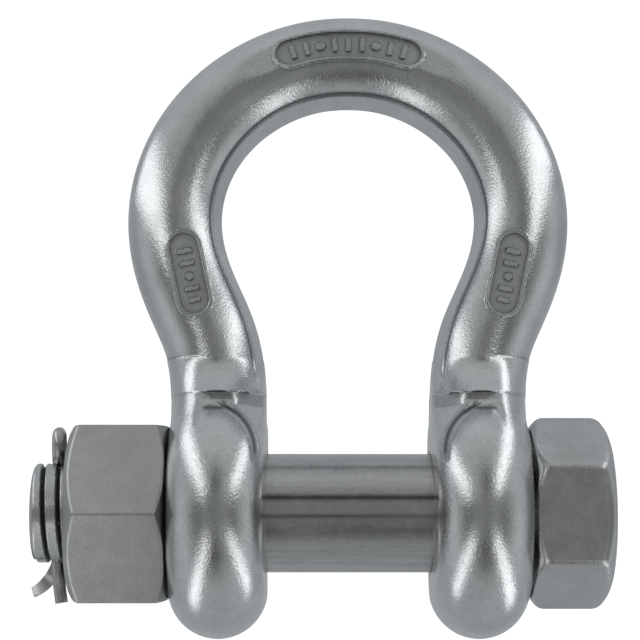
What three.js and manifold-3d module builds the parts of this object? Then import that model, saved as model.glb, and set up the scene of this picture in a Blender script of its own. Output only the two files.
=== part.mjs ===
// Bow shackle with a bolt-type pin: forged bow, headed bolt, hex nut and cotter pin.
// Millimetres. Origin on the bolt axis, mid-way between the two ears.
// +X runs along the bolt towards its head, +Z towards the crown of the bow, Y across the bow.
import * as THREE from 'three';
import Module from 'manifold-3d';
import { mergeVertices } from 'three/addons/utils/BufferGeometryUtils.js';

// ---------------------------------------------------------------- driving dimensions
// Bow
const BAR_R = 9.1;              // radius of the forged bar
const LAND_HALF = 6.1;          // half width of the flat inner land, across the bow
const LAND_DRAFT = 2.0;         // how far the land falls back from the parting line to its edges
const EAR_X = 24.6;             // centre plane of each ear
const EAR_HALF = 9.4;           // half thickness of an ear, and radius of its rounded rim
const EAR_R = 23.65;            // outer radius of an ear, about the bolt axis
const NECK_TOP = 25.6;          // height where the neck starts to widen
const EYE_R = 11.6;             // radius of the bolt's hole in each ear
const SEAT_X = 33.05, SEAT_R = 16.2;    // machined seats for the nut and the head, on the ears' outer faces
// Centreline of the bar from the crown down one leg: [x, z]; the other leg mirrors it.
const CENTRELINE = [
  [0.0, 87.35], [6.18, 86.85], [12.18, 85.2], [17.8, 82.48], [22.84, 78.8], [27.07, 74.28],
  [30.33, 69.05], [32.47, 63.27], [33.36, 57.15], [32.9, 50.92], [31.25, 44.87], [28.86, 39.16],
  [26.46, 33.43], [25.06, 27.35], [24.62, 21.14], [24.6, 15.0], [24.6, 9.0],
];
// Recessed pads on the front of the bow
const PAD_DEPTH_Y = 8.45;       // floor of the leg pads, from the mid-plane of the bow
const PAD_W = 5.2;              // width of a leg pad's floor
const PAD_L = 14.6;             // overall length of a leg pad's floor
const PAD_X = 30.3, PAD_Z = 44.8, PAD_TILT = 12.0;    // centre and lean of the leg pads
const CROWN_PAD_R = 89.35 - 54.6, CROWN_PAD_Z0 = 54.6; // arc that the crown pad follows
const CROWN_PAD_W = 4.3, CROWN_PAD_HALF_DEG = 22.5, CROWN_PAD_Y = 8.0;
// Bolt
const SHANK_R = 11.2;
const HEAD_X0 = 33.35, HEAD_X1 = 49.2;  // under side and end of the head
const HEAD_AF = 31.75;          // across flats of the head
const THREAD_R = 9.35, ROOT_R = 8.5, PITCH = 2.83;
const SHANK_X0 = -32.9;         // where the full shank ends and the thread starts
const TIP_X = -59.5;            // end of the bolt
const BOLT_ANGLE = 3.6;         // the bolt's turn in its eyes as it sits, degrees about X
// Nut
const NUT_X0 = -52.8, NUT_X1 = -33.35;
const NUT_AF = 33.0;
const NUT_BORE_R = 9.7;         // crest radius of the nut's own thread
const NUT_ROOT_R = 10.45;
// Cotter pin
const COTTER_X = -54.95;        // where its hole crosses the bolt
const COTTER_HOLE_R = 1.6;
const WIRE_R = 1.2;             // the closed pin is round; each leg is half of it
const WIRE_GAP = 0.32;          // between the flats of the two legs

const STEEL = { forged: 0xa3a6a8, turned: 0x8f9294, nut: 0x8d908f, wire: 0x9a9a96 };

// ---------------------------------------------------------------- solids
const wasm = await Module();
wasm.setup();

function solid(geometry) {
  const g = geometry.index ? geometry.toNonIndexed() : geometry.clone();
  for (const name of Object.keys(g.attributes)) if (name !== 'position') g.deleteAttribute(name);
  const m = mergeVertices(g, 1e-4);
  return new wasm.Manifold(new wasm.Mesh({
    numProp: 3,
    vertProperties: Float32Array.from(m.attributes.position.array),
    triVerts: Uint32Array.from(m.index.array),
  }));
}

// The cut solid as a geometry, with vertices closer than a few micrometres joined into one.
function geometryOf(manifold) {
  const m = manifold.getMesh(), q = 400;
  const ids = new Map(), pos = [], to = [];
  for (let i = 0; i < m.vertProperties.length; i += 3) {
    const v = [0, 1, 2].map((k) => Math.round(m.vertProperties[i + k] * q) / q);
    const key = v.join();
    if (!ids.has(key)) { ids.set(key, pos.length / 3); pos.push(...v); }
    to.push(ids.get(key));
  }
  const faces = new Map();
  for (let i = 0; i < m.triVerts.length; i += 3) {
    const t = [0, 1, 2].map((k) => to[m.triVerts[i + k]]);
    if (t[0] === t[1] || t[1] === t[2] || t[0] === t[2]) continue;
    const key = [...t].sort((x, y) => x - y).join();
    if (faces.has(key)) faces.delete(key); else faces.set(key, t);
  }
  const g = new THREE.BufferGeometry();
  g.setAttribute('position', new THREE.BufferAttribute(new Float32Array(pos), 3));
  g.setIndex([...faces.values()].flat());
  return g;
}

function piece(name, manifold, color, roughness) {
  const g = geometryOf(manifold);
  const flat = g.toNonIndexed();
  flat.computeVertexNormals();
  const mesh = new THREE.Mesh(flat, new THREE.MeshStandardMaterial({ color, roughness, metalness: 1 }));
  mesh.name = name;
  return mesh;
}

const deg = THREE.MathUtils.degToRad;

// A lathe turned about the X axis. The profile is [x, r] pairs and runs so that faces point out.
function turned(profile, segments, phase = 0) {
  const g = new THREE.LatheGeometry(profile.map(([x, r]) => new THREE.Vector2(r, x)), segments);
  g.rotateY(phase);
  g.rotateZ(-Math.PI / 2);      // lathe axis Y becomes +X
  return g;
}

// A solid extruded along Y from y0 to y1, its outline given as [x, z] pairs.
function prismY(outline, y0, y1) {
  const s = new THREE.Shape(outline.map(([x, z]) => new THREE.Vector2(x, -z)));
  const g = new THREE.ExtrudeGeometry(s, { depth: y1 - y0, bevelEnabled: false });
  g.rotateX(-Math.PI / 2);      // shape y becomes -z, depth z becomes +y
  g.translate(0, y0, 0);
  return g;
}

// ---------------------------------------------------------------- bow
function barSection() {
  // Circle whose inner side is a drafted land. u points out of the bow, w across it;
  // swept along the path, the section's own axes are (w, -u).
  const pts = [];
  const start = Math.asin(LAND_HALF / BAR_R);
  const put = (u, w) => pts.push(new THREE.Vector2(w, -u));
  const n = 16;
  for (let i = 0; i <= n; i++) {
    const a = -(Math.PI - start) + (2 * (Math.PI - start) * i) / n;
    put(BAR_R * Math.cos(a), BAR_R * Math.sin(a));
  }
  put(-(BAR_R - LAND_DRAFT), LAND_HALF);
  put(-BAR_R, 0);
  put(-(BAR_R - LAND_DRAFT), -LAND_HALF);
  return new THREE.Shape(pts);
}

function bar() {
  const right = CENTRELINE.map(([x, z]) => new THREE.Vector3(x, 0, z));
  const left = CENTRELINE.slice(1).map(([x, z]) => new THREE.Vector3(-x, 0, z)).reverse();
  const path = new THREE.CatmullRomCurve3([...left, ...right], false, 'centripetal');
  const steps = 56;
  return new THREE.ExtrudeGeometry(barSection(), { steps, extrudePath: path, bevelEnabled: false });
}

function ear(side) {
  // Disc with a fully rounded rim, cut flat on both faces.
  const prof = [];
  const rc = EAR_R - EAR_HALF;
  prof.push([-EAR_HALF, 0]);
  const n = 10;
  for (let i = 0; i <= n; i++) {
    const a = -Math.PI / 2 + (Math.PI * i) / n;
    prof.push([EAR_HALF * Math.sin(a), rc + EAR_HALF * Math.cos(a)]);
  }
  prof.push([EAR_HALF, 0]);
  const g = turned(prof, 48);
  g.translate(side * EAR_X, 0, 0);
  return g;
}

function neck(side) {
  // The leg widens across the bow from the bar to the ear: a short flared block with rounded corners.
  const levels = [
    [NECK_TOP + 0.6, 8.4, 8.3], [22.6, 11.9, 8.9], [21.4, 12.5, 9.1], [19.4, 13.3, 9.2],
    [15.0, 15.2, 9.3], [9.0, 17.2, 9.33], [0.0, 18.0, 9.34],
  ];
  const m = 20, pos = [], idx = [];
  const ring = (z, hy, hx) => {
    for (let k = 0; k < m; k++) {
      const a = (2 * Math.PI * (k + 0.5)) / m;
      const e = 0.62;
      const c = Math.cos(a), s = Math.sin(a);
      pos.push(side * EAR_X + hx * Math.sign(c) * Math.abs(c) ** e, hy * Math.sign(s) * Math.abs(s) ** e, z);
    }
  };
  for (const [z, hy, hx] of levels) ring(z, hy, hx);
  const L = levels.length;
  for (let l = 0; l < L - 1; l++) for (let k = 0; k < m; k++) {
    const a = l * m + k, b = l * m + ((k + 1) % m), c = a + m, d = b + m;
    idx.push(a, c, b, b, c, d);
  }
  for (let k = 1; k < m - 1; k++) { idx.push(0, k, k + 1); idx.push((L - 1) * m, (L - 1) * m + k + 1, (L - 1) * m + k); }
  const g = new THREE.BufferGeometry();
  g.setAttribute('position', new THREE.BufferAttribute(new Float32Array(pos), 3));
  g.setIndex(idx);
  return g;
}

function stadium(w, l, n = 6) {
  const pts = [];
  const r = w / 2, h = l / 2 - r;
  for (let i = 0; i <= n; i++) { const a = (Math.PI * i) / n; pts.push([r * Math.cos(a), h + r * Math.sin(a)]); }
  for (let i = 0; i <= n; i++) { const a = Math.PI + (Math.PI * i) / n; pts.push([r * Math.cos(a), -h + r * Math.sin(a)]); }
  return pts;
}

function legPad(side) {
  const t = deg(PAD_TILT) * side;
  const outline = stadium(PAD_W, PAD_L).map(([x, z]) => [
    side * PAD_X + x * Math.cos(t) + z * Math.sin(t), PAD_Z - x * Math.sin(t) + z * Math.cos(t)]);
  return prismY(outline, -12, -PAD_DEPTH_Y);
}

function crownPad() {
  const pts = [];
  const n = 14, half = deg(CROWN_PAD_HALF_DEG), r0 = CROWN_PAD_R - CROWN_PAD_W / 2, r1 = CROWN_PAD_R + CROWN_PAD_W / 2;
  for (let i = 0; i <= n; i++) { const a = -half + (2 * half * i) / n; pts.push([r1 * Math.sin(a), CROWN_PAD_Z0 + r1 * Math.cos(a)]); }
  for (let i = 1; i < 5; i++) {
    const b = (Math.PI * i) / 5, q = CROWN_PAD_W / 2;
    const rr = CROWN_PAD_R + q * Math.cos(b), ex = q * Math.sin(b);
    pts.push([rr * Math.sin(half) + ex * Math.cos(half), CROWN_PAD_Z0 + rr * Math.cos(half) - ex * Math.sin(half)]);
  }
  for (let i = 0; i <= n; i++) { const a = half - (2 * half * i) / n; pts.push([r0 * Math.sin(a), CROWN_PAD_Z0 + r0 * Math.cos(a)]); }
  for (let i = 1; i < 5; i++) {
    const b = Math.PI - (Math.PI * i) / 5, q = CROWN_PAD_W / 2;
    const rr = CROWN_PAD_R + q * Math.cos(b), ex = q * Math.sin(b);
    pts.push([-rr * Math.sin(half) - ex * Math.cos(half), CROWN_PAD_Z0 + rr * Math.cos(half) - ex * Math.sin(half)]);
  }
  return prismY(pts, -12, -CROWN_PAD_Y);
}

function bow() {
  let b = solid(bar());
  for (const s of [-1, 1]) b = b.add(solid(ear(s))).add(solid(neck(s)));
  const eye = solid(turned([[-60, 0], [-60, EYE_R], [60, EYE_R], [60, 0]], 48));
  b = b.subtract(eye);
  for (const s of [-1, 1]) {
    const x0 = s > 0 ? SEAT_X : -SEAT_X - 8;
    b = b.subtract(solid(turned([[x0, 0], [x0, SEAT_R], [x0 + 8, SEAT_R], [x0 + 8, 0]], 48)));
  }
  for (const s of [-1, 1]) b = b.subtract(solid(legPad(s)));
  return b.subtract(solid(crownPad()));
}

// ---------------------------------------------------------------- hexagonal blocks
// Hexagon along X with both ends chamfered by a cone; a corner points to -Y when cornerFront is true.
function hexBlock(x0, x1, af, cornerFront, cut0, cut1) {
  const R = af / Math.sqrt(3);
  const g = turned([[x0, 0], [x0, R], [x1, R], [x1, 0]], 6, cornerFront ? Math.PI / 6 : 0);
  const hex = solid(g);
  const rIn0 = af / 2 - cut0[1], rIn1 = af / 2 - cut1[1];
  const cone = solid(turned([
    [x0, 0], [x0, rIn0], [x0 + cut0[0], R + 0.02], [x1 - cut1[0], R + 0.02], [x1, rIn1], [x1, 0],
  ], 48));
  return hex.intersect(cone);
}

// A rod about X whose surface is a right-hand thread. The profile is [share of a pitch, radius] pairs.
function threadedRod(xStart, turns, pitch, profile, seg) {
  const K = profile.length, rows = turns * K, pos = [], idx = [];
  const at = (i, j) => (j === seg ? at(i + K, 0) : i * seg + j);
  for (let i = 0; i <= rows + K; i++) for (let j = 0; j < seg; j++) {
    const a = (2 * Math.PI * j) / seg, [f, r] = profile[i % K];
    pos.push(xStart + pitch * (Math.floor(i / K) + f + j / seg), r * Math.cos(a), r * Math.sin(a));
  }
  for (let i = 0; i < rows; i++) for (let j = 0; j < seg; j++) {
    idx.push(at(i, j), at(i, j + 1), at(i + 1, j), at(i, j + 1), at(i + 1, j + 1), at(i + 1, j));
  }
  const loop = (i0) => {
    const l = [];
    for (let j = 0; j < seg; j++) l.push(at(i0, j));
    for (let k = K; k > 0; k--) l.push(at(i0 + k, 0));
    return l;
  };
  const c0 = pos.length / 3; pos.push(xStart + pitch * 0.5, 0, 0);
  const c1 = c0 + 1; pos.push(xStart + pitch * (turns + 0.5), 0, 0);
  const l0 = loop(0), l1 = loop(rows);
  for (let k = 0; k < l0.length; k++) {
    idx.push(c0, l0[(k + 1) % l0.length], l0[k]);
    idx.push(c1, l1[k], l1[(k + 1) % l1.length]);
  }
  // drop the unused tail of the last rows
  const used = new Map(), p2 = [];
  const idx2 = idx.map((v) => { if (!used.has(v)) { used.set(v, p2.length / 3); p2.push(...pos.slice(v * 3, v * 3 + 3)); } return used.get(v); });
  const g = new THREE.BufferGeometry();
  g.setAttribute('position', new THREE.BufferAttribute(new Float32Array(p2), 3));
  g.setIndex(idx2);
  return g;
}

// ---------------------------------------------------------------- bolt
function bolt() {
  const head = hexBlock(HEAD_X0, HEAD_X1, HEAD_AF, false, [4.3, 2.4], [2.2, 1.35]);
  const shank = solid(turned([
    [SHANK_X0, 0], [SHANK_X0, SHANK_R - 0.8], [SHANK_X0 + 0.8, SHANK_R], [HEAD_X0 + 0.5, SHANK_R], [HEAD_X0 + 0.5, 0],
  ], 48));
  const rod = solid(threadedRod(TIP_X - 1.46 * PITCH, 11, PITCH,
    [[0, THREAD_R], [0.62, THREAD_R], [0.78, ROOT_R], [0.84, ROOT_R]], 24));
  const envelope = solid(turned([
    [TIP_X, 0], [TIP_X, THREAD_R - 0.95], [TIP_X + 0.75, THREAD_R + 0.1], [SHANK_X0 + 1.2, THREAD_R + 0.1], [SHANK_X0 + 1.2, 0],
  ], 48, 0.02));
  const hole = solid(new THREE.CylinderGeometry(COTTER_HOLE_R, COTTER_HOLE_R, 40, 16).rotateX(Math.PI / 2).translate(COTTER_X, 0, 0));
  return rod.intersect(envelope).add(shank).add(head).subtract(hole);
}

// ---------------------------------------------------------------- nut
function nut() {
  const block = hexBlock(NUT_X0, NUT_X1, NUT_AF, true, [2.3, 1.6], [2.3, 1.6]);
  const tap = solid(threadedRod(NUT_X0 - 2.6 * PITCH, 10, PITCH,
    [[0, NUT_ROOT_R], [0.08, NUT_ROOT_R], [0.3, NUT_BORE_R], [0.78, NUT_BORE_R]], 24));
  const mouths = solid(turned([
    [NUT_X0 - 1, 0], [NUT_X0 - 1, NUT_ROOT_R + 1.3], [NUT_X0 + 1.6, NUT_BORE_R - 1.3], [NUT_X0 + 1.6, 0],
  ], 48, 0.03)).add(solid(turned([
    [NUT_X1 - 3.0, 0], [NUT_X1 - 3.0, NUT_BORE_R - 0.8], [NUT_X1 - 1.2, SHANK_R + 0.45], [NUT_X1 + 1, SHANK_R + 0.45], [NUT_X1 + 1, 0],
  ], 48, 0.03)));
  return block.subtract(tap).subtract(mouths);
}

// ---------------------------------------------------------------- cotter pin
// Each half of the pin is a half-round wire swept along a line; both halves and the eye are one piece of wire.
function wire(points, segments, twist) {
  // points: [x, y, z, roll] where roll turns the half-round section about the line, degrees
  const curve = new THREE.CatmullRomCurve3(points.map(([x, y, z]) => new THREE.Vector3(x, y, z)), false, 'centripetal');
  const roll = points.map((p) => p[3]);
  const pos = [], idx = [];
  const sec = [];
  const n = 5;
  for (let i = 0; i <= n; i++) { const a = (Math.PI * i) / n; sec.push([WIRE_R * Math.cos(a), WIRE_R * Math.sin(a) * 0.96]); }
  const m = sec.length;
  let up = new THREE.Vector3(1, 0, 0);
  for (let i = 0; i <= segments; i++) {
    const u = i / segments;
    const p = curve.getPoint(u), t = curve.getTangent(u).normalize();
    up.sub(t.clone().multiplyScalar(up.dot(t))).normalize();
    const side = new THREE.Vector3().crossVectors(t, up).normalize();
    const f = u * (roll.length - 1), k = Math.min(Math.floor(f), roll.length - 2);
    const r = deg(roll[k] + (roll[k + 1] - roll[k]) * (f - k));
    const a = up.clone().multiplyScalar(Math.cos(r)).add(side.clone().multiplyScalar(Math.sin(r)));
    const b = side.clone().multiplyScalar(Math.cos(r)).sub(up.clone().multiplyScalar(Math.sin(r)));
    for (const [x, y] of sec) {
      const q = p.clone().addScaledVector(a, x).addScaledVector(b, -y);
      pos.push(q.x, q.y, q.z);
    }
  }
  for (let i = 0; i < segments; i++) for (let k = 0; k < m; k++) {
    const a = i * m + k, b = i * m + ((k + 1) % m), c = a + m, d = b + m;
    idx.push(a, c, b, b, c, d);
  }
  for (let k = 1; k < m - 1; k++) {
    idx.push(0, k, k + 1);
    const e = segments * m; idx.push(e, e + k + 1, e + k);
  }
  const g = new THREE.BufferGeometry();
  g.setAttribute('position', new THREE.BufferAttribute(new Float32Array(pos), 3));
  g.setIndex(idx);
  return g;
}

function cotter() {
  const X = COTTER_X, gap = WIRE_GAP / 2;
  const ez = 13.1, er = 2.0;
  // one wire: front tip, up the front half, round the eye, down the rear half, out to the bent tip
  const pts = [
    [X + 0.85, -1.1, -16.9, 0], [X + 0.45, -0.8, -14.4, 0], [X + 0.15, -0.35, -11.9, 0],
    [X, -gap, -9.6, 0], [X, -gap, -9.0, 0], [X, -gap, 8.4, 0], [X, -gap, 9.0, 0],
    [X, -er * 0.72, ez - er * 1.1, 0], [X, -er, ez, 0], [X, -er * 0.72, ez + er * 0.72, 0], [X, 0, ez + er, 0],
    [X, er * 0.72, ez + er * 0.72, 0], [X, er, ez, 0], [X, er * 0.72, ez - er * 1.1, 0],
    [X, gap, 9.0, 0], [X, gap, 8.4, 0], [X, gap, -8.4, 0], [X, gap, -9.0, 0],
    [X - 0.25, 0.3, -11.0, 4], [X - 1.3, 0.75, -12.9, 25], [X - 3.0, 1.1, -14.5, 62], [X - 4.7, 1.25, -15.4, 82],
  ];
  return solid(wire(pts, 63));
}

// ---------------------------------------------------------------- assembly
const shackle = new THREE.Group();
shackle.name = 'bow_shackle';
shackle.add(piece('bow_body', bow(), STEEL.forged, 0.22));

const boltGroup = new THREE.Group();
boltGroup.rotation.x = deg(BOLT_ANGLE);
boltGroup.add(piece('bolt_pin', bolt(), STEEL.turned, 0.3));
boltGroup.add(piece('hex_nut', nut(), STEEL.nut, 0.38));
boltGroup.add(piece('cotter_pin', cotter(), STEEL.wire, 0.34));
shackle.add(boltGroup);
shackle.updateMatrixWorld(true);

export default shackle;
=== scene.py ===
"""Looks of the bow shackle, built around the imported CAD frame. Metres; the geometry below is worked out in millimetres."""

import math

import bpy
import numpy as np
from mathutils import Matrix, Vector


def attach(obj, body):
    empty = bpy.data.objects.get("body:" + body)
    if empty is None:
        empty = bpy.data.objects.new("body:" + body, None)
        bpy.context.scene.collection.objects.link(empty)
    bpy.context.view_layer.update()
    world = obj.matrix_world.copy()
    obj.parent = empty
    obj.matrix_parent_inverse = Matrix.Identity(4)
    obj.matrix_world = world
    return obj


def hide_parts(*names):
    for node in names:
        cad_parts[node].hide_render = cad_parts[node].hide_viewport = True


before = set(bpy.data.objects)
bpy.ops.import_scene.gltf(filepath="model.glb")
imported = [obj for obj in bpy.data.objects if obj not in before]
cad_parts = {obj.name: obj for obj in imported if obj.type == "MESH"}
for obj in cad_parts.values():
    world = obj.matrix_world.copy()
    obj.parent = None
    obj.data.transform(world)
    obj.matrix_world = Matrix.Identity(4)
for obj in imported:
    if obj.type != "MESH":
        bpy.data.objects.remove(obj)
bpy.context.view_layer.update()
scene = bpy.context.scene

# ------------------------------------------------------------------ sizes, mm (as in the CAD source)
BAR_R = 9.1
LAND_DRAFT = 2.0 / 6.1
EAR_X, EAR_HALF, EAR_R = 24.6, 9.4, 23.65
EYE_R = 11.6
SEAT_X, SEAT_R = 33.05, 16.2
SHANK_R, SHANK_X0 = 11.2, -32.9
HEAD_X0, HEAD_X1, HEAD_AF = 33.35, 49.2, 31.75
THREAD_R, ROOT_R, PITCH, TIP_X = 9.35, 8.5, 2.83, -59.5
NUT_X0, NUT_X1, NUT_AF = -52.8, -33.35, 33.0
COTTER_X, COTTER_HOLE_R, WIRE_R = -54.95, 1.6, 1.2
BOLT_ANGLE = math.radians(3.6)
CENTRELINE = np.array([
    [0.0, 87.35], [6.18, 86.85], [12.18, 85.2], [17.8, 82.48], [22.84, 78.8], [27.07, 74.28],
    [30.33, 69.05], [32.47, 63.27], [33.36, 57.15], [32.9, 50.92], [31.25, 44.87], [28.86, 39.16],
    [26.46, 33.43], [25.06, 27.35], [24.62, 21.14], [24.6, 15.0], [24.6, 9.0],
])


# ------------------------------------------------------------------ smooth joins of distance fields
def smin(a, b, k):
    h = np.maximum(k - np.abs(a - b), 0.0) / k
    return np.minimum(a, b) - h * h * k * 0.25


def smax(a, b, k):
    return -smin(-a, -b, k)


def step(x, a, b):
    t = np.clip((x - a) / (b - a), 0.0, 1.0)
    return t * t * (3 - 2 * t)


def stadium(a, b, half_len, half_wid):
    return np.hypot(np.maximum(np.abs(a) - (half_len - half_wid), 0.0), b) - half_wid


def block(a, b, ha, hb, r):
    qa, qb = np.abs(a) - (ha - r), np.abs(b) - (hb - r)
    return np.hypot(np.maximum(qa, 0), np.maximum(qb, 0)) + np.minimum(np.maximum(qa, qb), 0) - r


# ------------------------------------------------------------------ centreline of the bar
class Line:
    """Natural cubic spline through the centreline, with nearest-point search in its plane."""

    def __init__(self, half):
        pts = np.vstack([half[1:][::-1] * [-1, 1], half])
        s = np.concatenate([[0], np.cumsum(np.hypot(*np.diff(pts, axis=0).T))])
        s -= s[len(half) - 1]
        n = len(s)
        hh = np.diff(s)
        A = np.eye(n)
        B = np.zeros((n, 2))
        for i in range(1, n - 1):
            A[i, i - 1], A[i, i], A[i, i + 1] = hh[i - 1], 2 * (hh[i - 1] + hh[i]), hh[i]
            B[i] = 6 * ((pts[i + 1] - pts[i]) / hh[i] - (pts[i] - pts[i - 1]) / hh[i - 1])
        self.M = np.linalg.solve(A, B)
        self.s, self.p, self.h = s, pts, hh
        self.cs = np.linspace(s[0], s[-1], 420)
        self.cp = self.at(self.cs)[0]

    def at(self, s):
        i = np.clip(np.searchsorted(self.s, s) - 1, 0, len(self.h) - 1)
        h = self.h[i][:, None]
        a, b = (self.s[i + 1] - s)[:, None], (s - self.s[i])[:, None]
        Ma, Mb, pa, pb = self.M[i], self.M[i + 1], self.p[i], self.p[i + 1]
        c = Ma * a**3 / (6 * h) + Mb * b**3 / (6 * h) + (pa / h - Ma * h / 6) * a + (pb / h - Mb * h / 6) * b
        d = -Ma * a**2 / (2 * h) + Mb * b**2 / (2 * h) - pa / h + Ma * h / 6 + pb / h - Mb * h / 6
        e = Ma * a / h + Mb * b / h
        return c, d, e

    def coarse(self, x, z):
        out = np.empty(len(x))
        for k in range(0, len(x), 20000):
            d = (x[k:k + 20000, None] - self.cp[None, :, 0]) ** 2 + (z[k:k + 20000, None] - self.cp[None, :, 1]) ** 2
            out[k:k + 20000] = self.cs[d.argmin(1)]
        return out

    def near(self, x, z, s):
        """Along the line, out of the bow, and past either end, for each point."""
        for _ in range(3):
            c, d, e = self.at(s)
            q = np.stack([x, z], 1) - c
            g = (q * d).sum(1)
            hgt = (d * d).sum(1) - (q * e).sum(1)
            s = np.clip(s + np.clip(g / np.maximum(hgt, 0.2), -1.0, 1.0), self.s[0], self.s[-1])
        c, d, e = self.at(s)
        d = d / np.hypot(d[:, 0], d[:, 1])[:, None]
        q = np.stack([x, z], 1) - c
        u = -q[:, 0] * d[:, 1] + q[:, 1] * d[:, 0]
        past = np.abs((q * d).sum(1))
        return s, u, past


LINE = Line(CENTRELINE)


# ------------------------------------------------------------------ the bow
LIP_Z = 21.9
FLARE_TOP, FLARE_OUT = 28.8, 3.85
NECK_Z = [-5, 0, 9.0, 15.0, 19.2, 20.5, 21.9]
NECK_Y = [18.4, 18.0, 17.0, 15.3, 13.2, 12.55, 12.4]
OUTER_Z = [-5, 0, 9.0, 15.0, 17.0, 19.2, 21.9]
OUTER_Y = [18.4, 18.3, 18.0, 17.6, 16.5, 14.9, 13.0]
VALLEY_Z = [2, 9.7, 12.2, 15.6, 17.55, 19.3, 21.5]
VALLEY_D = [18.6, 16.8, 15.8, 14.0, 12.3, 10.9, 10.45]
CROWN_TILT = math.radians(14)


def crease_of(x, y, z):
    """The crease round the top of each ear's dome, on the side towards the middle of the shackle."""
    ax = EAR_X - np.abs(x)
    off = np.hypot(ax + 2.75, z - 10.22) - 10.0
    arc = np.exp(-(off / 0.5) ** 2) * step(ax, 0.0, 1.8) * step(z, 8.0, 11.0)
    top = 0.8 * np.exp(-((ax + 0.6) / 1.7) ** 2 - ((z - 18.9 + 0.06 * ax) / 0.42) ** 2)
    return np.maximum(arc, top) * step(np.abs(y), 9.0, 11.0)


def bow_field(x, y, z, s, u, past):
    w = np.abs(y)
    # bar, with a drafted land on its inner side and a fine groove along the land's edge; it flares across the bow above the neck
    flare = np.where(np.abs(x) > 15, np.clip((FLARE_TOP - z) / (FLARE_TOP - LIP_Z), 0, 1.1), 0)
    out = FLARE_OUT * flare ** 1.55
    ws = w / (1 + out / BAR_R)
    p = 2 + 0.1 * flare
    d = (np.hypot(u, past) ** p + ws ** p) ** (1 / p) - BAR_R
    land = -(u + BAR_R - LAND_DRAFT * w) / math.hypot(1, LAND_DRAFT)
    d = smax(d, land, 0.3)
    d = smax(d, 0.58 - np.hypot(u + 7.42, ws - 5.62), 0.2)
    # flattened front of the crown
    q = u * math.sin(CROWN_TILT) - y * math.cos(CROWN_TILT)
    d = smax(d, np.where(z > 60, q - (8.66 + 0.9 * step(np.abs(s), 15, 30)), -9.0), 0.2)
    d = smax(d, np.where(np.abs(x) > 15, LIP_Z - z, -9.0), 0.2)
    # neck: widens across the bow into the ear, its inner corner cut back beside the ear's dome
    above = z > LIP_Z
    ax = np.where(above, u, np.abs(x) - EAR_X)
    r = np.hypot(y, z)
    outer = step(ax, 0.8, 4.5)
    inset = 0.35 - 0.4 * outer + 3.0 * step(-ax, -1.5, 2.0)
    profile = np.interp(z, NECK_Z, NECK_Y) * (1 - outer) + np.interp(z, OUTER_Z, OUTER_Y) * outer
    hy, hx = np.where(above, BAR_R + out - inset, profile), 9.15 - 0.15 * step(z, 12, 20) * (1 - outer)
    square, band = step(-z, -21.5, -13.0), step(z, 15.5, 19.5) * (1 - 0.65 * step(z, 20.0, LIP_Z))
    p = 2.05 + 0.07 * outer + np.where(ax < 0, 1.6, 0.4 * square + 1.0 * band * (1 - outer)) * np.where(above, flare, 1.0)
    neck = (((np.abs(ax) / hx) ** p + (w / hy) ** p) ** (1 / p) - 1) * hx
    neck = smax(neck, -0.77 * ax + 0.64 * w - np.interp(z, VALLEY_Z, VALLEY_D), 0.5)
    neck = np.maximum(neck, np.maximum(-z - 3, z - FLARE_TOP))
    d = smin(d, neck, 0.3)
    # ear: a disc with a rounded rim, its inner face drafted, a seat for nut or head on its outer face
    ear = np.hypot(np.maximum(r - (EAR_R - EAR_HALF), 0), ax) - EAR_HALF
    ear = smax(ear, -(ax + EAR_HALF - 0.045 * w), 0.35)
    d = smin(d, ear, 0.4) + 0.42 * crease_of(x, y, z)
    d = smax(d, EYE_R - r, 0.9)
    d = smax(d, -np.maximum(SEAT_X - np.abs(x), r - SEAT_R), 0.35)
    # leg pads
    side = np.sign(x)
    t = math.radians(12.2)
    dx, dz = np.abs(x) - 30.2, z - 44.7
    a, b = dx * math.sin(t) + dz * math.cos(t), dx * math.cos(t) - dz * math.sin(t)
    rim = np.maximum(stadium(a, b, 8.45, 3.4), np.maximum(-9.08 - y, y + 5))
    d = smin(d, rim, 0.25)
    d = smax(d, -np.maximum(stadium(a, b, 7.8, 2.75), y + 8.5), 0.18)
    marks = block(a - 4.3, b, 0.55, 1.45, 0.3)
    marks = np.minimum(marks, block(a - 1.9, b, 0.5, 1.45, 0.3))
    marks = np.minimum(marks, np.hypot(a + 0.6, b) - 0.85)
    marks = np.minimum(marks, block(a + 3.0, b, 0.5, 1.45, 0.3))
    marks = np.minimum(marks, block(a + 5.2, b, 0.5, 1.2, 0.3))
    d = smin(d, np.maximum(marks, np.maximum(-8.86 - y, y + 8.2)), 0.16)
    # crown pad
    b = u - 1.9
    rim = np.maximum(stadium(s, b, 14.0, 3.15), np.maximum(q - 8.86, -q + 7))
    d = smin(d, rim, 0.25)
    d = smax(d, -np.maximum(stadium(s, b, 13.4, 2.55), 8.28 - q), 0.18)
    marks = None
    for k, c in enumerate(np.linspace(-10.2, 10.2, 9)):
        m = block(s - c, b, 0.5, 1.45, 0.3) if k % 4 != 2 else np.hypot(s - c, b) - 0.95
        marks = m if marks is None else np.minimum(marks, m)
    d = smin(d, np.maximum(marks, np.maximum(q - 8.68, -q + 8.0)), 0.16)
    return d


# ------------------------------------------------------------------ bolt and nut, in the bolt's own turned frame
def hexagon(a, b, af, k):
    """Prism whose flats face +a and -a."""
    m = smax(np.abs(a), np.abs(a / 2 + b * math.sqrt(3) / 2), k)
    return smax(m, np.abs(a / 2 - b * math.sqrt(3) / 2), k) - af / 2


def cone(x, r, x_face, r_face, slope, direction):
    """Chamfer: at x_face the surface is at r_face, and grows by slope per mm towards the middle of the block."""
    depth = (x - x_face) * direction
    return (r - r_face - slope * depth) / math.hypot(1, slope)


def groove(x, y, z, shift):
    f = (x - shift) / PITCH - np.arctan2(z, y) / (2 * math.pi)
    return (f - np.round(f)) * PITCH


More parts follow.
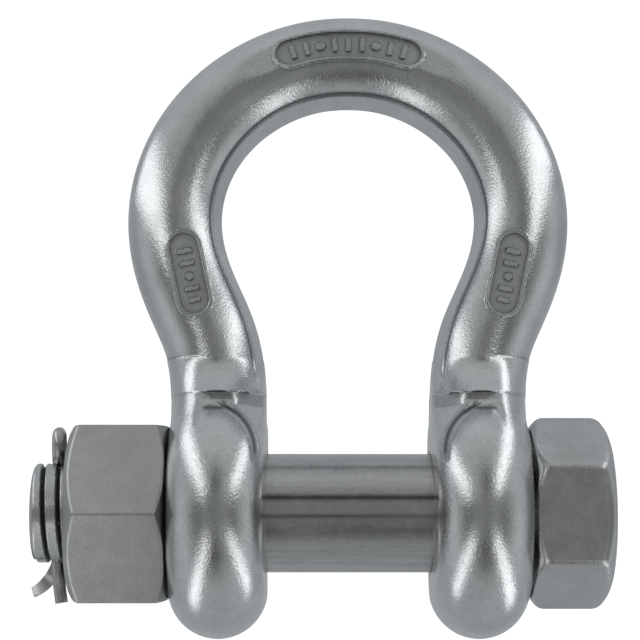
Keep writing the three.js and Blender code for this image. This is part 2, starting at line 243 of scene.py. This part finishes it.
def bolt_field(x, y, z):
    r = np.hypot(y, z)
    shank = smax(r - SHANK_R, SHANK_X0 - x, 0.8)
    shank = np.maximum(shank, x - 36)
    g = groove(x, y, z, -57.6 - PITCH * 0.25)
    depth = np.clip(0.86 - np.abs(g) * 1.75, 0, 0.86) * step(-x, 33.5, 35.5)
    stem = smax(r - THREAD_R + depth, x - 36, 0.2)
    stem = smax(stem, cone(x, r, TIP_X, THREAD_R - 0.75, 1.4, 1), 0.3)
    stem = smax(stem, TIP_X - x, 0.3)
    d = smin(shank, stem, 0.3)
    head = hexagon(y, z, HEAD_AF, 0.9)
    head = smax(head, cone(x, r, HEAD_X1, HEAD_AF / 2 - 1.1, 2.0, -1), 1.6)
    head = smax(head, x - HEAD_X1, 0.8)
    head = smax(head, cone(x, r, HEAD_X0, HEAD_AF / 2 - 0.9, 1.25, 1), 0.9)
    head = smax(head, HEAD_X0 - x, 1.4)
    d = smin(d, head, 0.3)
    return smax(d, COTTER_HOLE_R - np.hypot(x - COTTER_X, y), 0.3)


def nut_field(x, y, z):
    r = np.hypot(y, z)
    d = hexagon(z, y, NUT_AF, 0.45)
    d = smax(d, cone(x, r, NUT_X0, NUT_AF / 2 - 1.6, 1.8, 1), 0.45)
    d = smax(d, cone(x, r, NUT_X1, NUT_AF / 2 - 1.6, 1.8, -1), 0.45)
    d = smax(d, NUT_X0 - x, 0.6)
    d = smax(d, x - NUT_X1, 0.6)
    g = groove(x, y, z, -56.0)
    bore = 9.7 + np.clip(0.75 - np.abs(g) * 0.8, 0, 0.75)
    bore = np.maximum(bore, 9.7 + np.clip(1.9 - (x - NUT_X0), 0, 1.9))
    bore = np.maximum(bore, 9.7 + np.clip(3.2 - (NUT_X1 - x), 0, 2.0))
    return smax(d, bore - r, 0.3)


# ------------------------------------------------------------------ distance field to mesh
def nets(F, lo, h):
    """Surface nets: one vertex in each cell that the surface crosses, one quad at each edge it crosses."""
    ins = F < 0
    i8 = ins.astype(np.uint8)
    c = i8[:-1] + i8[1:]
    c = c[:, :-1] + c[:, 1:]
    c = c[:, :, :-1] + c[:, :, 1:]
    mixed = (c > 0) & (c < 8)
    shape = mixed.shape
    lin = np.flatnonzero(mixed)
    del c, mixed
    ijk = np.stack(np.unravel_index(lin, shape), 1)
    corners = [(a, b, cc) for a in (0, 1) for b in (0, 1) for cc in (0, 1)]
    val = np.stack([F[ijk[:, 0] + a, ijk[:, 1] + b, ijk[:, 2] + cc] for a, b, cc in corners], 1).astype(float)
    acc, cnt = np.zeros((len(lin), 3)), np.zeros(len(lin))
    C = np.array(corners, float)
    for i in range(8):
        for j in range(i + 1, 8):
            if np.abs(C[i] - C[j]).sum() != 1:
                continue
            va, vb = val[:, i], val[:, j]
            m = (va < 0) != (vb < 0)
            t = np.where(m, va / np.where(m, va - vb, 1), 0)
            acc += np.where(m[:, None], C[i] + (C[j] - C[i]) * t[:, None], 0)
            cnt += m
    verts = (ijk + acc / cnt[:, None]) * h + lo
    quads = []
    for ax in range(3):
        o1, o2 = (ax + 1) % 3, (ax + 2) % 3
        sl = [slice(1, -1)] * 3
        sl[ax] = slice(0, -1)
        sh = [slice(1, -1)] * 3
        sh[ax] = slice(1, None)
        a, b = ins[tuple(sl)], ins[tuple(sh)]
        for flip, m in ((False, a & ~b), (True, ~a & b)):
            e = np.argwhere(m)
            e += 1
            e[:, ax] -= 1
            ring = []
            for d1, d2 in ((-1, -1), (0, -1), (0, 0), (-1, 0)):
                q = e.copy()
                q[:, o1] += d1
                q[:, o2] += d2
                ring.append(np.searchsorted(lin, np.ravel_multi_index(q.T, shape)))
            quads.append(np.stack(ring[::-1] if flip else ring, 1))
    return verts, np.vstack(quads)


def gradient(f, P, e):
    out = np.empty_like(P)
    for k in range(3):
        d = np.zeros(3)
        d[k] = e
        out[:, k] = (f(P + d) - f(P - d)) / (2 * e)
    return out


def settle(f, P, h):
    """Moves the vertices onto the surface, and gives the surface's own normals."""
    for _ in range(4):
        g = gradient(f, P, 0.02)
        n2 = np.maximum((g * g).sum(1), 0.05)
        P = P - g * np.clip(f(P) / n2, -0.5 * h, 0.5 * h)[:, None]
    g = gradient(f, P, 0.06)
    return P, g / np.maximum(np.linalg.norm(g, axis=1), 1e-9)[:, None]


def to_object(name, P, quads, N=None, marks=None):
    me = bpy.data.meshes.new(name)
    P = np.asarray(P, np.float32) * 0.001
    me.vertices.add(len(P))
    me.vertices.foreach_set("co", P.ravel())
    quads = np.asarray(quads, np.int32)
    k = quads.shape[1]
    me.loops.add(quads.size)
    me.loops.foreach_set("vertex_index", quads.ravel())
    me.polygons.add(len(quads))
    me.polygons.foreach_set("loop_start", np.arange(0, quads.size, k, dtype=np.int32))
    me.update(calc_edges=True)
    me.validate()
    me.polygons.foreach_set("use_smooth", np.ones(len(me.polygons), bool))
    if N is not None:
        me.normals_split_custom_set_from_vertices(np.asarray(N, np.float32).tolist())
    for key, val in (marks or {}).items():
        at = me.attributes.new(key, "FLOAT", "POINT")
        at.data.foreach_set("value", np.asarray(val, np.float32))
    ob = bpy.data.objects.new(name, me)
    scene.collection.objects.link(ob)
    return ob


def grid(lo, hi, h):
    return [np.arange(lo[k], hi[k] + h, h) for k in range(3)]


def make_bow(h):
    lo, hi = np.array([-44.0, -25.0, -25.0]) + 0.013, np.array([44.0, 25.0, 98.0])
    X, Y, Z = grid(lo, hi, h)
    gx, gz = np.meshgrid(X, Z, indexing="ij")
    gs = LINE.coarse(gx.ravel(), gz.ravel())
    s, u, past = (v.reshape(gx.shape) for v in LINE.near(gx.ravel(), gz.ravel(), gs))
    F = np.empty((len(X), len(Y), len(Z)), np.float32)
    for j, y in enumerate(Y):
        F[:, j, :] = bow_field(gx, np.full_like(gx, y), gz, s, u, past)
    V, Q = nets(F, lo, h)
    del F
    gs2 = s

    def f(P):
        i = np.clip(np.round((P[:, 0] - lo[0]) / h).astype(int), 0, len(X) - 1)
        k = np.clip(np.round((P[:, 2] - lo[2]) / h).astype(int), 0, len(Z) - 1)
        ss, uu, pp = LINE.near(P[:, 0], P[:, 2], gs2[i, k])
        return bow_field(P[:, 0], P[:, 1], P[:, 2], ss, uu, pp)

    V, N = settle(f, V, h)
    ax, r = np.abs(V[:, 0]), np.hypot(V[:, 1], V[:, 2])
    eye = step(-r, -17.5, -12.5) * (step(-ax, -17.5, -16.5) + step(ax, 31.5, 32.5))
    matte = pad_floor(V)
    # painted shade: tight corners and the crease round each ear's dome are darkened in the colour, less so on the pad
    # floors
    painted_shade = np.maximum(painted_shade_in_corners(f, V, N) * (1 - 0.4 * matte), 0.8 * crease_of(*V.T))
    # painted shade: a dark line along the fine groove beside the inner land
    u = LINE.near(V[:, 0], V[:, 2], LINE.coarse(V[:, 0], V[:, 2]))[1]
    g = np.hypot(u + 7.42, np.abs(V[:, 1]) - 5.62)
    painted_shade = np.maximum(painted_shade, 0.85 * np.exp(-(np.maximum(g - 0.5, 0) / 0.2) ** 2) * step(V[:, 2], 26, 30))
    marks = {"painted_shade": painted_shade, "matte": matte, "stain": np.clip(eye, 0, 1)}
    return to_object("bow", V, Q, N, marks)


def painted_shade_in_corners(f, V, N):
    """1 in a tight inner corner, 0 on open metal; it is painted shade that darkens the colour there, and it also
    roughens the metal.
    """
    near = 1 - f(V + N * 0.45) / 0.45
    far = 1 - f(V + N * 1.3) / 1.3
    return np.clip(np.maximum(near, far * 0.8) * 1.15 - 0.12, 0, 1)


def pad_floor(V):
    x, y, z = V.T
    t = math.radians(12.2)
    dx, dz = np.abs(x) - 30.2, z - 44.7
    a, b = dx * math.sin(t) + dz * math.cos(t), dx * math.cos(t) - dz * math.sin(t)
    leg = step(-stadium(a, b, 7.95, 2.9), -0.25, 0.15) * (y < -8)
    s0 = LINE.coarse(x, z)
    s, u, past = LINE.near(x, z, s0)
    crown = step(-stadium(s, u - 1.9, 13.5, 2.65), -0.25, 0.15) * (y < -6)
    return np.maximum(leg, crown)


def make_turned(name, field, lo, hi, h):
    """A piece of the bolt's group: its field is in the bolt's own frame, turned about X."""
    lo = np.array(lo, float) + 0.007
    X, Y, Z = grid(lo, np.array(hi, float), h)
    gy, gz = np.meshgrid(Y, Z, indexing="ij")
    F = np.empty((len(X), len(Y), len(Z)), np.float32)
    for i, x in enumerate(X):
        F[i] = field(np.full_like(gy, x), gy, gz)
    V, Q = nets(F, lo, h)
    f = lambda P: field(P[:, 0], P[:, 1], P[:, 2])
    V, N = settle(f, V, h)
    # painted shade in the tight corners of the bolt and the nut
    marks = {"painted_shade": painted_shade_in_corners(f, V, N)}
    if name == "bolt":
        x, th = V[:, 0], np.degrees(np.arctan2(V[:, 2], -V[:, 1]))
        shaft = step(x, -33.2, -32.4) * step(-x, -33.1, -32.6)
        # painted reflection: dark bands along the shank at set angles round it, standing for dark reflections on the
        # polished pin
        line = 0
        for at, wide, amount in ((15.7, 2.6, 1.0), (-2.4, 2.2, 0.9), (50.2, 1.5, 0.55), (-38.0, 1.3, 0.35), (110, 1.4, 0.8), (-125, 1.4, 0.8), (168, 1.5, 0.8)):
            line = line + amount * np.exp(-((th - at) / wide) ** 2)
        marks["shaft"], marks["line"] = shaft, np.clip(line, 0, 1) * shaft
    c, s = math.cos(BOLT_ANGLE), math.sin(BOLT_ANGLE)
    R = np.array([[1, 0, 0], [0, c, -s], [0, s, c]])
    return to_object(name, V @ R.T, Q, N @ R.T, marks)


# ------------------------------------------------------------------ cotter pin
def catmull(P, per):
    P = np.vstack([2 * P[0] - P[1], P, 2 * P[-1] - P[-2]])
    out = []
    for i in range(1, len(P) - 2):
        t = np.linspace(0, 1, per, endpoint=False)[:, None]
        a, b, c, d = P[i - 1], P[i], P[i + 1], P[i + 2]
        out.append(0.5 * (2 * b + (c - a) * t + (2 * a - 5 * b + 4 * c - d) * t**2 + (3 * b - a - 3 * c + d) * t**3))
    return np.vstack(out + [P[-2][None]])


def make_cotter():
    X, gap, ez, er = COTTER_X, 0.16, 13.1, 2.0
    pts = np.array([
        [X + 0.85, -1.1, -16.9, 0], [X + 0.45, -0.8, -14.4, 0], [X + 0.15, -0.35, -11.9, 0],
        [X, -gap, -9.6, 0], [X, -gap, -9.0, 0], [X, -gap, 8.4, 0], [X, -gap, 9.0, 0],
        [X, -er * 0.72, ez - er * 1.1, 0], [X, -er, ez, 0], [X, -er * 0.72, ez + er * 0.72, 0], [X, 0, ez + er, 0],
        [X, er * 0.72, ez + er * 0.72, 0], [X, er, ez, 0], [X, er * 0.72, ez - er * 1.1, 0],
        [X, gap, 9.0, 0], [X, gap, 8.4, 0], [X, gap, -8.4, 0], [X, gap, -9.0, 0],
        [X - 0.55, 0.3, -10.6, 5], [X - 1.7, 0.75, -12.5, 28], [X - 3.3, 1.1, -14.0, 62], [X - 5.0, 1.25, -14.9, 82],
    ])
    L = catmull(pts, 12)
    P, roll = L[:, :3], np.radians(L[:, 3])
    T = np.gradient(P, axis=0)
    T /= np.linalg.norm(T, axis=1)[:, None]
    ang = np.linspace(0, math.pi, 19)
    sec = np.stack([WIRE_R * np.cos(ang), WIRE_R * 0.96 * np.sin(ang)], 1)
    m = len(sec)
    up = np.array([1.0, 0, 0])
    rings = []
    for i in range(len(P)):
        up = up - T[i] * (up @ T[i])
        up /= np.linalg.norm(up)
        side = np.cross(T[i], up)
        a = up * math.cos(roll[i]) + side * math.sin(roll[i])
        b = side * math.cos(roll[i]) - up * math.sin(roll[i])
        rings.append(P[i] + sec[:, :1] * a - sec[:, 1:] * b)
    V = np.vstack(rings)
    faces = []
    for i in range(len(P) - 1):
        for k in range(m):
            j = (k + 1) % m
            faces.append([i * m + k, (i + 1) * m + k, (i + 1) * m + j, i * m + j])
    faces += [list(range(m)), [(len(P) - 1) * m + j for j in range(m)][::-1]]
    c, s = math.cos(BOLT_ANGLE), math.sin(BOLT_ANGLE)
    R = np.array([[1, 0, 0], [0, c, -s], [0, s, c]])
    me = bpy.data.meshes.new("cotter")
    me.from_pydata((V @ R.T * 0.001).tolist(), [], faces)
    me.validate()
    ob = bpy.data.objects.new("cotter", me)
    scene.collection.objects.link(ob)
    for p in me.polygons:
        p.use_smooth = True
    bev = ob.modifiers.new("edge", "BEVEL")
    bev.width, bev.segments, bev.limit_method, bev.angle_limit = 0.00014, 2, "ANGLE", math.radians(50)
    bev.harden_normals = True
    return ob


# ------------------------------------------------------------------ materials
def nodes_of(name):
    m = bpy.data.materials.new(name)
    m.use_nodes = True
    nt = m.node_tree
    nt.nodes.clear()
    out = nt.nodes.new("ShaderNodeOutputMaterial")
    bsdf = nt.nodes.new("ShaderNodeBsdfPrincipled")
    nt.links.new(bsdf.outputs[0], out.inputs[0])
    return m, nt, bsdf


def node(nt, kind, **kw):
    n = nt.nodes.new(kind)
    for k, v in kw.items():
        if k in n.inputs:
            n.inputs[k].default_value = v
        else:
            setattr(n, k, v)
    return n


def ramp(nt, src, stops):
    r = nt.nodes.new("ShaderNodeValToRGB")
    r.color_ramp.elements[0].position, r.color_ramp.elements[1].position = stops[0][0], stops[-1][0]
    r.color_ramp.elements[0].color, r.color_ramp.elements[1].color = (*stops[0][1], 1), (*stops[-1][1], 1)
    for pos, col in stops[1:-1]:
        e = r.color_ramp.elements.new(pos)
        e.color = (*col, 1)
    nt.links.new(src, r.inputs[0])
    return r


def steel(name, dark, light, rough, rough_var, grain, peel, streak=None, stain=None, wipe=None):
    """Bare stainless steel: blotchy tone, cloudy roughness, a fine grain over a faint long-wave peel, painted shade
    darkening the corners.

    grain and peel are (size mm, depth mm); streak is (scale x, y, z per metre, depth mm); stain tints blotches."""
    m, nt, bsdf = nodes_of(name)
    L = nt.links.new
    bsdf.inputs["Metallic"].default_value = 1.0
    tc = nt.nodes.new("ShaderNodeTexCoord")
    at = tc.outputs["Object"]

    def noise(scale, detail, rough_=0.6, vec=at):
        n = node(nt, "ShaderNodeTexNoise", Scale=scale, Detail=detail, Roughness=rough_)
        L(vec, n.inputs["Vector"])
        return n.outputs["Fac"]

    def mark(key):
        n = nt.nodes.new("ShaderNodeAttribute")
        n.attribute_name = key
        return n.outputs["Fac"]

    def mix(fac, a, b, mode="MIX"):
        n = node(nt, "ShaderNodeMixRGB", blend_type=mode)
        for key, v in (("Fac", fac), ("Color1", a), ("Color2", b)):
            if isinstance(v, tuple):
                n.inputs[key].default_value = (*v, 1)
            elif isinstance(v, float):
                n.inputs[key].default_value = v
            else:
                L(v, n.inputs[key])
        return n.outputs["Color"]

    def scaled(src, k, plus=0.0):
        n = node(nt, "ShaderNodeMath", operation="MULTIPLY_ADD")
        n.inputs[1].default_value, n.inputs[2].default_value = k, plus
        L(src, n.inputs[0])
        return n.outputs[0]

    def added(a, b):
        n = node(nt, "ShaderNodeMath", operation="ADD")
        L(a, n.inputs[0])
        L(b, n.inputs[1])
        return n.outputs[0]

    colour = ramp(nt, noise(130.0, 6.0, 0.65), [(0.3, dark), (0.7, light)]).outputs["Color"]
    speck = ramp(nt, noise(1500.0, 2.0, 0.6), [(0.34, (0.93, 0.93, 0.93)), (0.5, (1, 1, 1))]).outputs["Color"]
    colour = mix(1.0, colour, speck, "MULTIPLY")
    if stain:
        r = ramp(nt, noise(60.0, 4.0, 0.7), [(0.5, (0, 0, 0)), (0.72, (1, 1, 1))])
        colour = mix(r.outputs["Color"], colour, mix(1.0, colour, stain, "MULTIPLY"))
    if wipe:
        mp = nt.nodes.new("ShaderNodeMapping")
        mp.inputs["Scale"].default_value = wipe
        L(at, mp.inputs["Vector"])
        w = ramp(nt, noise(1.0, 4.0, 0.6, mp.outputs["Vector"]), [(0.33, (0.8, 0.8, 0.8)), (0.55, (1, 1, 1))])
        colour = mix(mark("shaft"), colour, mix(1.0, colour, w.outputs["Color"], "MULTIPLY"))
        # painted reflection: the dark bands of the line mark, broken up along the shank, darken the colour to about a
        # fifth
        gaps = ramp(nt, noise(1.0, 3.0, 0.6, mp.outputs["Vector"]), [(0.35, (0.25, 0.25, 0.25)), (0.6, (1, 1, 1))])
        colour = mix(mix(1.0, gaps.outputs["Color"], mark("line"), "MULTIPLY"), colour, mix(1.0, colour, (0.22, 0.22, 0.23), "MULTIPLY"))
    colour = mix(mark("stain"), colour, mix(1.0, colour, (0.93, 0.84, 0.74), "MULTIPLY"))
    colour = mix(mark("matte"), colour, mix(1.0, colour, (0.76, 0.775, 0.75), "MULTIPLY"))
    # painted shade: the corner mask darkens the colour to a tenth; the same mask also raises the roughness below
    colour = mix(mark("painted_shade"), colour, mix(1.0, colour, (0.1, 0.1, 0.1), "MULTIPLY"))
    L(colour, bsdf.inputs["Base Color"])
    rr = scaled(noise(420.0, 5.0, 0.7), rough_var * 4, rough - rough_var * 2)
    rr = added(rr, scaled(mark("matte"), 0.36))
    rr = added(rr, scaled(mark("painted_shade"), 0.25))
    rr.node.use_clamp = True
    L(rr, bsdf.inputs["Roughness"])
    normal = None
    layers = [(noise(1000.0 / grain[0], 3.0), grain[1]), (noise(1000.0 / peel[0], 2.0, 0.5), peel[1])]
    if streak:
        mp = nt.nodes.new("ShaderNodeMapping")
        mp.inputs["Scale"].default_value = streak[:3]
        L(at, mp.inputs["Vector"])
        layers.append((noise(1.0, 3.0, 0.6, mp.outputs["Vector"]), streak[3]))
    for src, depth in layers:
        b = nt.nodes.new("ShaderNodeBump")
        b.inputs["Strength"].default_value = 1.0
        b.inputs["Distance"].default_value = depth * 0.001
        L(src, b.inputs["Height"])
        if len(streak or ()) and depth == streak[3]:
            L(mark("shaft"), b.inputs["Strength"])
        if normal:
            L(normal, b.inputs["Normal"])
        normal = b.outputs["Normal"]
    L(normal, bsdf.inputs["Normal"])
    return m


forged = steel("forged_steel", (0.54, 0.55, 0.56), (0.66, 0.67, 0.675), 0.135, 0.035, (0.42, 0.052), (2.6, 0.035))
bolt_mat = steel("bolt_steel", (0.48, 0.487, 0.488), (0.575, 0.582, 0.58), 0.27, 0.06, (0.4, 0.025), (2.0, 0.015),
                 streak=(90.0, 1500.0, 1500.0, 0.02), stain=(0.9, 0.88, 0.85), wipe=(12.0, 300.0, 300.0))
nut_mat = steel("nut_steel", (0.415, 0.42, 0.41), (0.495, 0.5, 0.488), 0.36, 0.06, (0.4, 0.03), (1.8, 0.02),
                stain=(0.92, 0.9, 0.86))
wire_mat = steel("cotter_steel", (0.44, 0.44, 0.42), (0.54, 0.54, 0.52), 0.3, 0.06, (0.35, 0.015), (2.0, 0.01))

# ------------------------------------------------------------------ pieces
h = 0.32
bow = make_bow(h)
bow.data.materials.append(forged)
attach(bow, "bow")
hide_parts("bow_body")

h = 0.25
bolt = make_turned("bolt", bolt_field, (-60.6, -19.2, -19.2), (50.4, 19.2, 19.2), h)
bolt.data.materials.append(bolt_mat)
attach(bolt, "bolt")
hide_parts("bolt_pin")

nut = make_turned("nut", nut_field, (-54.0, -20.2, -18.2), (-32.2, 20.2, 18.2), h)
nut.data.materials.append(nut_mat)
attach(nut, "nut")
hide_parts("hex_nut")

cotter = make_cotter()
cotter.data.materials.append(wire_mat)
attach(cotter, "cotter")
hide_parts("cotter_pin")

# ------------------------------------------------------------------ light
# a white background for the eye, and for the metal a grey room with darker and lighter places
world = bpy.data.worlds.new("studio")
scene.world = world
world.use_nodes = True
wn = world.node_tree
wn.nodes.clear()


def wnode(kind, **kw):
    n = wn.nodes.new(kind)
    for k, v in kw.items():
        setattr(n, k, v)
    return n


def direction(az, el):
    """az 0 is towards the camera, 90 to its right; el is height above the level."""
    a, e = math.radians(az), math.radians(el)
    return (math.sin(a) * math.cos(e), -math.cos(a) * math.cos(e), math.sin(e))


wout = wnode("ShaderNodeOutputWorld")
seen, lit = wnode("ShaderNodeBackground"), wnode("ShaderNodeBackground")
seen.inputs["Color"].default_value = (1, 1, 1, 1)
seen.inputs["Strength"].default_value = 1.1
path, pick = wnode("ShaderNodeLightPath"), wnode("ShaderNodeMixShader")
wn.links.new(path.outputs["Is Camera Ray"], pick.inputs[0])
wn.links.new(lit.outputs[0], pick.inputs[1])
wn.links.new(seen.outputs[0], pick.inputs[2])
wn.links.new(pick.outputs[0], wout.inputs[0])
way = wnode("ShaderNodeTexCoord")
total = None
ROOM = 0.42
PLACES = [  # azimuth, elevation, tightness, amount
    (85, 0, 2.2, 0.16), (-85, 0, 2.2, 0.16), (0, 0, 4.0, -0.24), (2, 29, 45, -0.27), (0, 62, 3.0, 0.035), (0, -42, 18, -0.26),
    (46, -8, 13, -0.26), (-46, -8, 13, -0.26), (21, 18, 45, 0.12), (-21, 18, 45, 0.12), (21, -18, 45, 0.14),
    (-21, -18, 45, 0.14), (118, 4, 9, -0.14), (-115, 2, 8, -0.14), (0, 85, 3, 0.1), (78, -18, 25, 0.1), (-76, -20, 25, 0.1),
]
for az, el, tight, amount in PLACES:
    dot = wnode("ShaderNodeVectorMath", operation="DOT_PRODUCT")
    dot.inputs[1].default_value = direction(az, el)
    wn.links.new(way.outputs["Generated"], dot.inputs[0])
    fall = wnode("ShaderNodeMath", operation="MULTIPLY_ADD")
    fall.inputs[1].default_value, fall.inputs[2].default_value = tight, -tight
    wn.links.new(dot.outputs["Value"], fall.inputs[0])
    ex = wnode("ShaderNodeMath", operation="EXPONENT")
    wn.links.new(fall.outputs[0], ex.inputs[0])
    acc = wnode("ShaderNodeMath", operation="MULTIPLY_ADD")
    acc.inputs[1].default_value = amount
    wn.links.new(ex.outputs[0], acc.inputs[0])
    if total is None:
        acc.inputs[2].default_value = ROOM
    else:
        wn.links.new(total.outputs[0], acc.inputs[2])
    total = acc
floor_value = wnode("ShaderNodeMath", operation="MAXIMUM")
floor_value.inputs[1].default_value = 0.02
wn.links.new(total.outputs[0], floor_value.inputs[0])
wn.links.new(floor_value.outputs[0], lit.inputs["Strength"])
# the room is neutral on the camera's side and cooler behind
split = wnode("ShaderNodeSeparateXYZ")
wn.links.new(way.outputs["Generated"], split.inputs[0])
back = wnode("ShaderNodeMapRange")
back.inputs["From Min"].default_value, back.inputs["From Max"].default_value = -0.7, 0.5
wn.links.new(split.outputs["Y"], back.inputs["Value"])
cool = wnode("ShaderNodeMixRGB")
cool.inputs["Color1"].default_value, cool.inputs["Color2"].default_value = (0.97, 1.0, 0.985, 1), (0.93, 0.985, 1.025, 1)
wn.links.new(back.outputs["Result"], cool.inputs["Fac"])
wn.links.new(cool.outputs["Color"], lit.inputs["Color"])


def strip(name, p0, p1, width, radiance, colour=(1, 1, 1)):
    """A straight light from p0 to p1 (mm), turned towards the middle of the shackle."""
    p0, p1 = Vector(p0), Vector(p1)
    mid, y = (p0 + p1) / 2, (p1 - p0).normalized()
    z = mid - Vector((0, 0, 35))
    z = (z - y * z.dot(y)).normalized()
    length = (p1 - p0).length / 1000
    l = bpy.data.lights.new(name, "AREA")
    l.shape = "RECTANGLE"
    l.size, l.size_y = width / 1000, length
    l.energy = radiance * math.pi * l.size * l.size_y
    l.color = colour
    ob = bpy.data.objects.new(name, l)
    scene.collection.objects.link(ob)
    ob.matrix_world = Matrix.Translation(mid / 1000) @ Matrix((y.cross(z), y, z)).transposed().to_4x4()
    ob.visible_camera = False
    return ob


strip("upper_left", (-94, -178, 49), (-133, 46, 114), 42, 1.06)
strip("upper_right", (102, -182, 63), (135, 46, 144), 42, 1.18)
strip("lower_left", (-89, -229, -109), (-137, 56, -174), 47, 1.12)
strip("lower_right", (105, -228, -95), (151, 80, -150), 45, 1.12)

# ------------------------------------------------------------------ camera
D, PITCH_DEG, YAW_DEG, F_PX = 0.400, 8.0, 0.37, 5.2 * 400.0
p, a = math.radians(PITCH_DEG), math.radians(YAW_DEG)
fwd = Vector((math.sin(a) * math.cos(p), math.cos(a) * math.cos(p), math.sin(p)))
target = Vector((-0.0054, 0.0, 0.037))
cam_data = bpy.data.cameras.new("camera")
cam_data.sensor_fit = "HORIZONTAL"
cam_data.sensor_width = 36.0
cam_data.lens = F_PX / 640.0 * 36.0
cam_data.clip_start, cam_data.clip_end = 0.01, 50
cam = bpy.data.objects.new("camera", cam_data)
scene.collection.objects.link(cam)
cam.location = target - fwd * D
right = Vector((math.cos(a), -math.sin(a), 0.0))
upv = right.cross(fwd)
cam.rotation_euler = Matrix((right, upv, -fwd)).transposed().to_euler()
scene.camera = cam

scene.view_settings.view_transform = "Standard"
scene.view_settings.look = "None"
scene.view_settings.exposure = 0.0
scene.view_settings.gamma = 1.0
